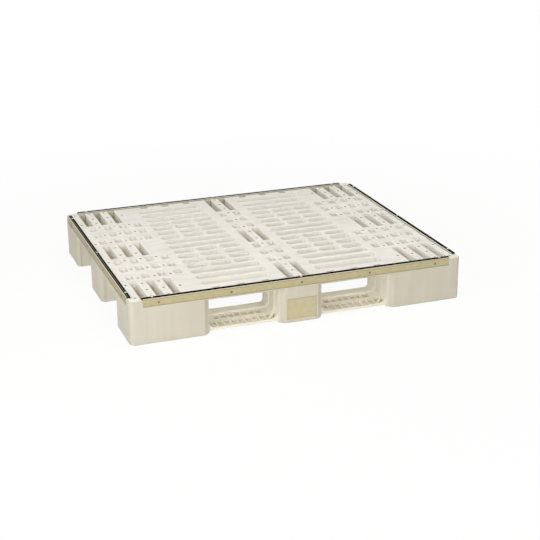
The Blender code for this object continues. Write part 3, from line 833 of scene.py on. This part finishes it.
@dataclass
class RoundedCopy:
    """A CAD solid with its sharp edges rounded."""

    width: float
    segments: int = 2
    sharp_angle: float = 35.0
    merge_distance: float = 0.00002
    splitter: FlatSplitter = field(default_factory=FlatSplitter)

    def build(self, node: bpy.types.Object, name: str, *marks: FaceMark) -> bpy.types.Object:
        """Copy a node, merge it into whole faces and round its edges.

        Args:
            node: The CAD node's object, which is left alone.
            name: The copy's name.
            marks: Attributes that tell some of its faces from the others.

        Returns:
            The rounded copy.
        """
        bm = bmesh.new()
        bm.from_mesh(node.data)
        bmesh.ops.remove_doubles(bm, verts=bm.verts, dist=self.merge_distance)
        self.splitter.split(bm)
        bmesh.ops.dissolve_limit(bm, angle_limit=math.radians(self.splitter.flat_angle),
                                 verts=bm.verts, edges=bm.edges, delimit={"NORMAL", "SEAM"})
        for mark in marks:
            layer = bm.faces.layers.float.new(mark.name)
            for face in bm.faces:
                face[layer] = float(mark.holds(face))
        # The bevel faces are marked; the plastic paints shade along them.
        shaded_bevels = bm.faces.layers.float.new("worn_edge")
        sharp = [edge for edge in bm.edges
                 if edge.calc_face_angle(0.0) > math.radians(self.sharp_angle)]
        result = bmesh.ops.bevel(bm, geom=sharp, offset=self.width, offset_type="OFFSET",
                                 segments=self.segments, profile=0.5, affect="EDGES",
                                 clamp_overlap=False)
        for face in result["faces"]:
            face[shaded_bevels] = 1.0
        mesh = bpy.data.meshes.new(name)
        bm.to_mesh(mesh)
        bm.free()
        mesh.shade_smooth()
        piece = put(name, mesh)
        weighted = piece.modifiers.new("even_normals", "WEIGHTED_NORMAL")
        weighted.weight = 100
        weighted.keep_sharp = False
        return piece


@dataclass
class Moulding:
    """The one-piece pallet moulding."""

    finish: MouldedPlastic
    edge_radius: float = 0.0005
    deck_height: float = 0.154
    upstand_rise: float = 0.005
    skin: float = 0.005
    drain_side: float = 0.008
    recess_heights: Pair = (0.02, 0.2)
    inner_plan: Pair = (0.579, 0.4795)
    whole_plan: Pair = (0.6, 0.5)
    level_tolerance: float = 0.0002
    height_tolerance: float = 0.001

    def marks(self) -> tuple[FaceMark, FaceMark, FaceMark]:
        """Return the marks of the walls of recesses, of drain holes and of the upstands."""
        level, height = self.level_tolerance, self.height_tolerance
        top = (self.deck_height - level, self.deck_height + level)
        crest = self.deck_height + self.upstand_rise
        rise = (self.upstand_rise - height, self.upstand_rise + height)
        return (FaceMark("recess", top, self.recess_heights, self.inner_plan),
                FaceMark("drain", top, (self.skin - height, self.skin + height),
                         self.inner_plan, self.drain_side),
                # The upstands' faces are marked for a painted shadow.
                FaceMark("upstand", (crest - level, crest + level), rise, self.whole_plan))

    def build(self, nodes: dict[str, bpy.types.Object]) -> None:
        """Round the moulding's edges and dress it."""
        copy = RoundedCopy(self.edge_radius).build(nodes["pallet_body"], "pallet_moulding",
                                                   *self.marks())
        dress(copy, self.finish.material(), Slot.PLASTIC, "pallet_body")


@dataclass
class SheetMetal:
    """The four edge angles and the plate."""

    finish: KhakiSteel
    side_finish: KhakiSteel
    plate_finish: KhakiSteel
    angle_edge: float = 0.0003
    plate_edge: float = 0.0003

    def build(self, nodes: dict[str, bpy.types.Object]) -> None:
        """Ease the sheet's edges and dress each piece."""
        # The short sides take the darker copy of the khaki, which is painted shade.
        long_sides, shaded_short_sides = self.finish.material(), self.side_finish.material()
        for edge in Edge:
            name = f"{edge.label}_edge_angle"
            copy = RoundedCopy(self.angle_edge).build(nodes[name], name + "_sheet")
            on_long_side = edge in (Edge.FRONT, Edge.REAR)
            dress(copy, long_sides if on_long_side else shaded_short_sides, Slot.ANGLE, name)
        plate = RoundedCopy(self.plate_edge).build(nodes["front_label_plate"], "bare_plate")
        dress(plate, self.plate_finish.material(), Slot.ANGLE, "front_label_plate")


@dataclass
class RubberRails:
    """The four anti-slip rails: a crowned section with two grooves and eased ends."""

    finish: BlackRubber
    corner_radius: float = 0.0022
    groove_depth: float = 0.0006
    groove_width: float = 0.0013
    groove_offset: float = 0.0019
    end_radius: float = 0.0018
    hole_radius: float = 0.00235
    # The rails that get a painted highlight along the crown.
    dusty_edges: tuple[Edge, ...] = (Edge.LEFT,)
    crown_place: float = 0.0024
    crown_band: float = 0.0010
    crown_fade: float = 0.0008
    sharp_angle: float = 35.0
    corner_steps: int = 6
    top_steps: int = 25
    end_steps: int = 5

    def profile(self, width: float, height: float) -> np.ndarray:
        """Return the section's (across, up) points, anticlockwise from its outer side's foot.

        The top runs between two quarter circles. Its height is lowered by the groove depth times
        the square of the cosine across each groove. The underside is flat.

        Args:
            width: Width of the rail.
            height: Height of the rail.

        Returns:
            Array of points and (across, up).
        """
        radius = self.corner_radius
        turn = np.linspace(0.0, math.pi / 2, self.corner_steps)
        inner = np.stack((width - radius + radius * np.cos(turn),
                          height - radius + radius * np.sin(turn)), axis=-1)
        outer = np.stack((radius - radius * np.sin(turn),
                          height - radius + radius * np.cos(turn)), axis=-1)
        across = np.linspace(width - radius, radius, self.top_steps)[1:-1]
        lowered = np.zeros_like(across)
        for side in (-1, 1):
            phase = (across - width / 2 - side * self.groove_offset) / self.groove_width
            lowered += np.where(np.abs(phase) < 0.5, np.cos(math.pi * phase) ** 2, 0.0)
        top = np.stack((across, height - self.groove_depth * lowered), axis=-1)
        foot = np.array(((0.0, 0.0), (width / 2, 0.0), (width, 0.0)))
        return np.concatenate((foot, inner, top, outer))

    def surface(self, node: str, edge: Edge) -> np.ndarray:
        """Carry the section along the edge, shrinking it over each end's quarter circle.

        Args:
            node: The CAD rail, whose box sets the length, width and height.
            edge: The edge that it lies on.

        Returns:
            Array of rings of world points.
        """
        low, high = corners_of(node)
        centre = (low + high) / 2
        size = high - low
        length = abs(size @ edge.along)
        width = abs(size @ edge.outward)
        section = self.profile(width, size[2])
        middle = np.array((width / 2, size[2] / 2))
        turn = np.linspace(0.0, math.pi / 2, self.end_steps)
        reach = length / 2 - self.end_radius + self.end_radius * np.sin(turn)
        shrink = self.end_radius * (1.0 - np.cos(turn))
        along = np.concatenate((-reach[::-1], reach))
        inset = np.concatenate((shrink[::-1], shrink))
        scale = 1.0 - inset[:, None] / middle
        rings = middle + (section - middle) * scale[:, None, :]
        start = centre + edge.outward * width / 2
        start[2] = low[2]
        return (start + along[:, None, None] * edge.along
                - rings[..., :1] * edge.outward + rings[..., 1:] * UP)

    def mark_crown(self, piece: bpy.types.Object, node: str, edge: Edge) -> None:
        """Write the share of the painted highlight at each point: one along a line on the top,
        fading to its sides.

        Args:
            piece: The rail.
            node: The CAD rail that it stands for.
            edge: The edge that it lies on.
        """
        points = np.empty((len(piece.data.vertices), 3))
        piece.data.vertices.foreach_get("co", points.reshape(-1))
        low, high = corners_of(node)
        across = np.abs((points - (low + high) / 2) @ edge.outward - self.crown_place)
        top = points[:, 2] > high[2] - 2 * self.groove_depth
        share = np.clip((self.crown_band - across) / self.crown_fade + 0.5, 0.0, 1.0) * top
        layer = piece.data.attributes.new("crown", "FLOAT", "POINT")
        layer.data.foreach_set("value", share)

    def build(self) -> None:
        """Make, pierce and dress the four rails."""
        material = self.finish.material()
        for edge in Edge:
            node = f"{edge.label}_rubber_rail"
            piece = ring_mesh(f"{edge.label}_rail_profile", self.surface(node, edge))
            screws = [f"{edge.label}_rail_screw_{number}" for number in (1, 2, 3)]
            pierce(piece, [sum(corners_of(screw)) / 2 for screw in screws], self.hole_radius)
            if edge in self.dusty_edges:
                self.mark_crown(piece, node, edge)
            shade(piece, self.sharp_angle)
            dress(piece, material, Slot.RUBBER, node)


def pierce(piece: bpy.types.Object, centres: list[np.ndarray], radius: float) -> None:
    """Cut upright round holes through a piece.

    Args:
        piece: The object, whose mesh is replaced by the cut one.
        centres: A point on each hole's axis.
        radius: The holes' radius.
    """
    bm = bmesh.new()
    for centre in centres:
        bmesh.ops.create_cone(bm, cap_ends=True, segments=HOLE_SIDES, radius1=radius,
                              radius2=radius, depth=HOLE_LENGTH,
                              matrix=Matrix.Translation(Vector(centre)))
    mesh = bpy.data.meshes.new("holes")
    bm.to_mesh(mesh)
    bm.free()
    cutter = put("holes", mesh)
    cut = piece.modifiers.new("holes", "BOOLEAN")
    cut.object = cutter
    cut.operation = "DIFFERENCE"
    cut.solver = "EXACT"
    graph = bpy.context.evaluated_depsgraph_get()
    done = bpy.data.meshes.new_from_object(piece.evaluated_get(graph))
    piece.modifiers.clear()
    piece.data = done
    bpy.data.objects.remove(cutter)


@dataclass
class Screws:
    """Round-headed screws with a cross recess and a rolled thread."""

    finish: BrightScrew
    side_finish: BrightScrew
    columns: int = 40
    head_rings: int = 14
    rim_rings: int = 4
    thread_rings: int = 60
    underside: float = 0.0014
    rim_height: float = 0.0004
    shank_radius: float = 0.00155
    crest_radius: float = 0.0020
    thread_pitch: float = 0.0013
    tip_length: float = 0.0022
    recess_reach: float = 0.0021
    recess_half_width: float = 0.00045
    recess_depth: float = 0.0011
    recess_side_slope: float = 0.00025
    recess_end_slope: float = 0.0009
    first_ring: float = 0.04
    smallest_tip: float = 0.08
    sharp_angle: float = 40.0

    def recess(self, x: np.ndarray, y: np.ndarray) -> np.ndarray:
        """Return how deep the cross recess is at each point.

        The depth grows with the distance inside a cross of two bars, and the bars' ends slope in.

        Args:
            x: Distances along one bar.
            y: Distances along the other.

        Returns:
            Depths in metres.
        """
        narrow = np.minimum(np.abs(x), np.abs(y))
        wide = np.maximum(np.abs(x), np.abs(y))
        inside = np.clip((self.recess_half_width - narrow) / self.recess_side_slope, 0.0, 1.0)
        slope = np.clip((self.recess_reach - wide) / self.recess_end_slope, 0.0, 1.0)
        return self.recess_depth * inside * slope

    def surface(self, head_radius: float, height: float) -> np.ndarray:
        """Return rings of points from the head's centre to the tip, with the head's top at zero.

        The crown is a spherical cap, less the recess. The thread's radius swings between root and
        crest with a cosine of (turns down the shank minus the angle), and fades into the tip.

        Args:
            head_radius: Radius of the head.
            height: Length from the top of the head to the tip.

        Returns:
            Array of rings, points and x, y, z, with z outwards.
        """
        angle = np.linspace(0.0, 2 * math.pi, self.columns, endpoint=False)
        share = np.linspace(self.first_ring, 1.0, self.head_rings)
        crown_drop = self.underside - self.rim_height
        radius = head_radius * np.concatenate((share, np.full(self.rim_rings, 1.0)))
        level = -crown_drop * np.concatenate((share ** 2, np.ones(self.rim_rings)))
        level[self.head_rings:] -= np.linspace(0.0, self.rim_height, self.rim_rings + 1)[1:]
        x = radius[:, None] * np.cos(angle)
        y = radius[:, None] * np.sin(angle)
        head = np.stack((x, y, level[:, None] - self.recess(x, y)), axis=-1)
        depth = np.linspace(self.underside, height, self.thread_rings)[:, None]
        turns = (depth - self.underside) / self.thread_pitch - angle / (2 * math.pi)
        crest = 0.5 + 0.5 * np.cos(2 * math.pi * turns)
        taper = np.clip((height - depth) / self.tip_length, self.smallest_tip, 1.0)
        run = self.shank_radius + (self.crest_radius - self.shank_radius) * crest
        shank_radius = run * taper
        shank = np.stack((shank_radius * np.cos(angle), shank_radius * np.sin(angle),
                          -depth + 0.0 * angle), axis=-1)
        return np.concatenate((head, shank))

    def place(self, points: np.ndarray, node: str, outward: np.ndarray,
              along: np.ndarray) -> np.ndarray:
        """Turn and move a screw to its CAD node.

        Args:
            points: The screw with its head's top at the origin.
            node: The CAD node.
            outward: Direction that the head faces.
            along: Direction of the recess's first bar.

        Returns:
            The points in the world.
        """
        low, high = corners_of(node)
        centre = (low + high) / 2
        top = centre + outward * abs((high - low) @ outward) / 2
        axes = np.stack((along, np.cross(outward, along), outward))
        return top + points @ axes

    def build(self) -> None:
        """Make and dress every screw."""
        bright, weathered = self.finish.material(), self.side_finish.material()
        for edge in Edge:
            for kind, outward, material in (("side", edge.outward, weathered),
                                            ("rail", UP, bright)):
                for number in range(1, screw_count(edge, kind) + 1):
                    node = f"{edge.label}_{kind}_screw_{number}"
                    low, high = corners_of(node)
                    height = abs((high - low) @ outward)
                    head_radius = abs((high - low) @ edge.along) / 2
                    turn = recess_turn(edge, number)
                    side = np.cross(outward, edge.along)
                    along = math.cos(turn) * edge.along + math.sin(turn) * side
                    points = self.place(self.surface(head_radius, height), node, outward, along)
                    piece = ring_mesh(node + "_threaded", points)
                    shade(piece, self.sharp_angle)
                    dress(piece, material, Slot.SCREW, node)


def screw_count(edge: Edge, kind: str) -> int:
    """Return how many screws of one kind the frame has on an edge."""
    start = f"{edge.label}_{kind}_screw_"
    return sum(1 for item in bpy.data.objects if item.name.startswith(start)
               and "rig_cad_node" in item)


def recess_turn(edge: Edge, number: int) -> float:
    """Return a screw's recess angle, a golden-ratio fraction of a quarter turn."""
    order = list(Edge).index(edge) * 8 + number
    return math.pi / 2 * ((order * GOLDEN_SHARE) % 1.0)


@dataclass(frozen=True)
class Lamp:
    """A square white lamp that faces the pallet."""

    name: str
    place: Triple
    side: float
    watts: float

    def hang(self) -> None:
        """Hang the lamp where the camera doesn't see it."""
        data = bpy.data.lights.new(self.name, "AREA")
        data.size = self.side
        data.energy = self.watts
        lamp = put(self.name, data)
        lamp.location = self.place
        lamp.rotation_euler = (-Vector(self.place)).to_track_quat("-Z", "Y").to_euler()
        lamp.visible_camera = False


@dataclass
class Studio:
    """The camera, the floor and soft light."""

    azimuth: float = -19.9268
    elevation: float = 20.2842
    roll: float = -0.4966
    distance: float = 4.5886
    target: Triple = (-0.00296, -0.19097, 0.08)
    lens: float = 84.884
    sensor: float = 36.0
    camera_reach: float = 100.0
    floor_size: float = 40.0
    floor_colour: Colour = (0.97, 0.97, 0.97)
    floor_glow: Pair = (0.92, 1.0)
    floor_ring: Pair = (0.9, 2.2)
    sky_strength: float = 0.38
    sky_colour: Colour = (1.0, 0.97, 0.87)
    lamps: tuple[Lamp, ...] = (Lamp("top_lamp", (0.2, -0.7, 3.4), 3.0, 58.0),
                               Lamp("key_lamp", (-2.0, -1.5, 1.5), 0.9, 14.0),
                               Lamp("fill_lamp", (-1.8, -4.0, 1.2), 1.2, 29.0))

    def camera(self) -> None:
        """Place the camera as the photograph was taken."""
        turn, rise, tilt = (math.radians(value)
                            for value in (self.azimuth, self.elevation, self.roll))
        back = Vector((math.sin(turn) * math.cos(rise), -math.cos(turn) * math.cos(rise),
                       math.sin(rise)))
        right = Vector((math.cos(turn), math.sin(turn), 0.0))
        up = back.cross(right)
        rolled_right = right * math.cos(tilt) + up * math.sin(tilt)
        rolled_up = up * math.cos(tilt) - right * math.sin(tilt)
        data = bpy.data.cameras.new("photo_camera")
        data.lens = self.lens
        data.sensor_width = self.sensor
        data.clip_end = self.camera_reach
        camera = put("photo_camera", data)
        matrix = Matrix((rolled_right, rolled_up, back)).transposed().to_4x4()
        matrix.translation = Vector(self.target) + back * self.distance
        camera.matrix_world = matrix
        bpy.context.scene.camera = camera

    def floor(self) -> None:
        """Lay a pale floor that the camera sees as white, with a light shadow."""
        half = self.floor_size / 2
        mesh = bpy.data.meshes.new("studio_floor")
        corners = [(-half, -half, 0.0), (half, -half, 0.0), (half, half, 0.0), (-half, half, 0.0)]
        mesh.from_pydata(corners, [], [(0, 1, 2, 3)])
        material = bpy.data.materials.new("white_floor")
        material.use_nodes = True
        nodes = material.node_tree.nodes
        nodes.remove(nodes["Principled BSDF"])
        tree = NodeTree(material.node_tree)
        paper = tree.add("BsdfDiffuse", {"Color": self.floor_colour})
        glow = tree.add("Emission", {"Color": WHITE, "Strength": 1.0})
        place = tree.add("TexCoord").outputs["Object"]
        reach = tree.add("VectorMath", {0: place}, operation="LENGTH").outputs["Value"]
        glowing = tree.ramp(reach, *self.floor_ring, *self.floor_glow)
        share = tree.math("MULTIPLY", tree.seen(), glowing)
        blend = tree.add("MixShader", {"Fac": share, 1: paper.outputs["BSDF"],
                                       2: glow.outputs["Emission"]})
        tree.link(blend.outputs["Shader"], nodes["Material Output"], "Surface")
        mesh.materials.append(material)
        floor = put("studio_floor", mesh)

    def sky(self) -> None:
        """Light the scene evenly, and show the camera and reflections a white backdrop."""
        world = bpy.data.worlds.new("studio_sky")
        world.use_nodes = True
        nodes = world.node_tree.nodes
        nodes.remove(nodes["Background"])
        tree = NodeTree(world.node_tree)
        dome = tree.add("Background", {"Color": self.sky_colour, "Strength": self.sky_strength})
        white = tree.add("Background", {"Color": WHITE, "Strength": 1.0})
        blend = tree.add("MixShader", {"Fac": tree.seen(), 1: dome.outputs["Background"],
                                       2: white.outputs["Background"]})
        tree.link(blend.outputs["Shader"], nodes["World Output"], "Surface")
        bpy.context.scene.world = world

    def build(self) -> None:
        """Set up the whole studio."""
        self.camera()
        self.floor()
        self.sky()
        for lamp in self.lamps:
            lamp.hang()
        bpy.context.scene.view_settings.view_transform = "Standard"


def main() -> None:
    """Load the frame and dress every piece."""
    logging.basicConfig(level=logging.INFO, format="%(message)s")
    for item in list(bpy.data.objects):
        bpy.data.objects.remove(item)
    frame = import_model()
    Studio().build()
    groups = EffectGroups()
    Moulding(MouldedPlastic(groups)).build(frame["nodes"])
    # Painted shadow: a dark band just under the plate's rim.
    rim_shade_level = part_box("front_label_plate")[1][2] - PLATE_RIM_SHADE_DROP
    plate = KhakiSteel(groups, "khaki_plate_steel", colour=linear(210, 199, 162),
                       cloud=linear(202, 191, 153), dark_bands=((rim_shade_level, PLATE_RIM_SHADE),))
    # Painted shade: the short sides take a darker copy of the khaki.
    shaded_khaki = KhakiSteel(groups, "khaki_short_side_steel", colour=linear(172, 160, 118),
                       cloud=linear(156, 143, 102), dark=linear(118, 106, 70))
    SheetMetal(KhakiSteel(groups), shaded_khaki, plate).build(frame["nodes"])
    RubberRails(BlackRubber(groups)).build()
    weathered = BrightScrew(groups, "weathered_steel", colour=linear(170, 166, 150),
                            cloud=linear(92, 88, 74))
    Screws(BrightScrew(groups), weathered).build()


if __name__ == "__main__":
    main()
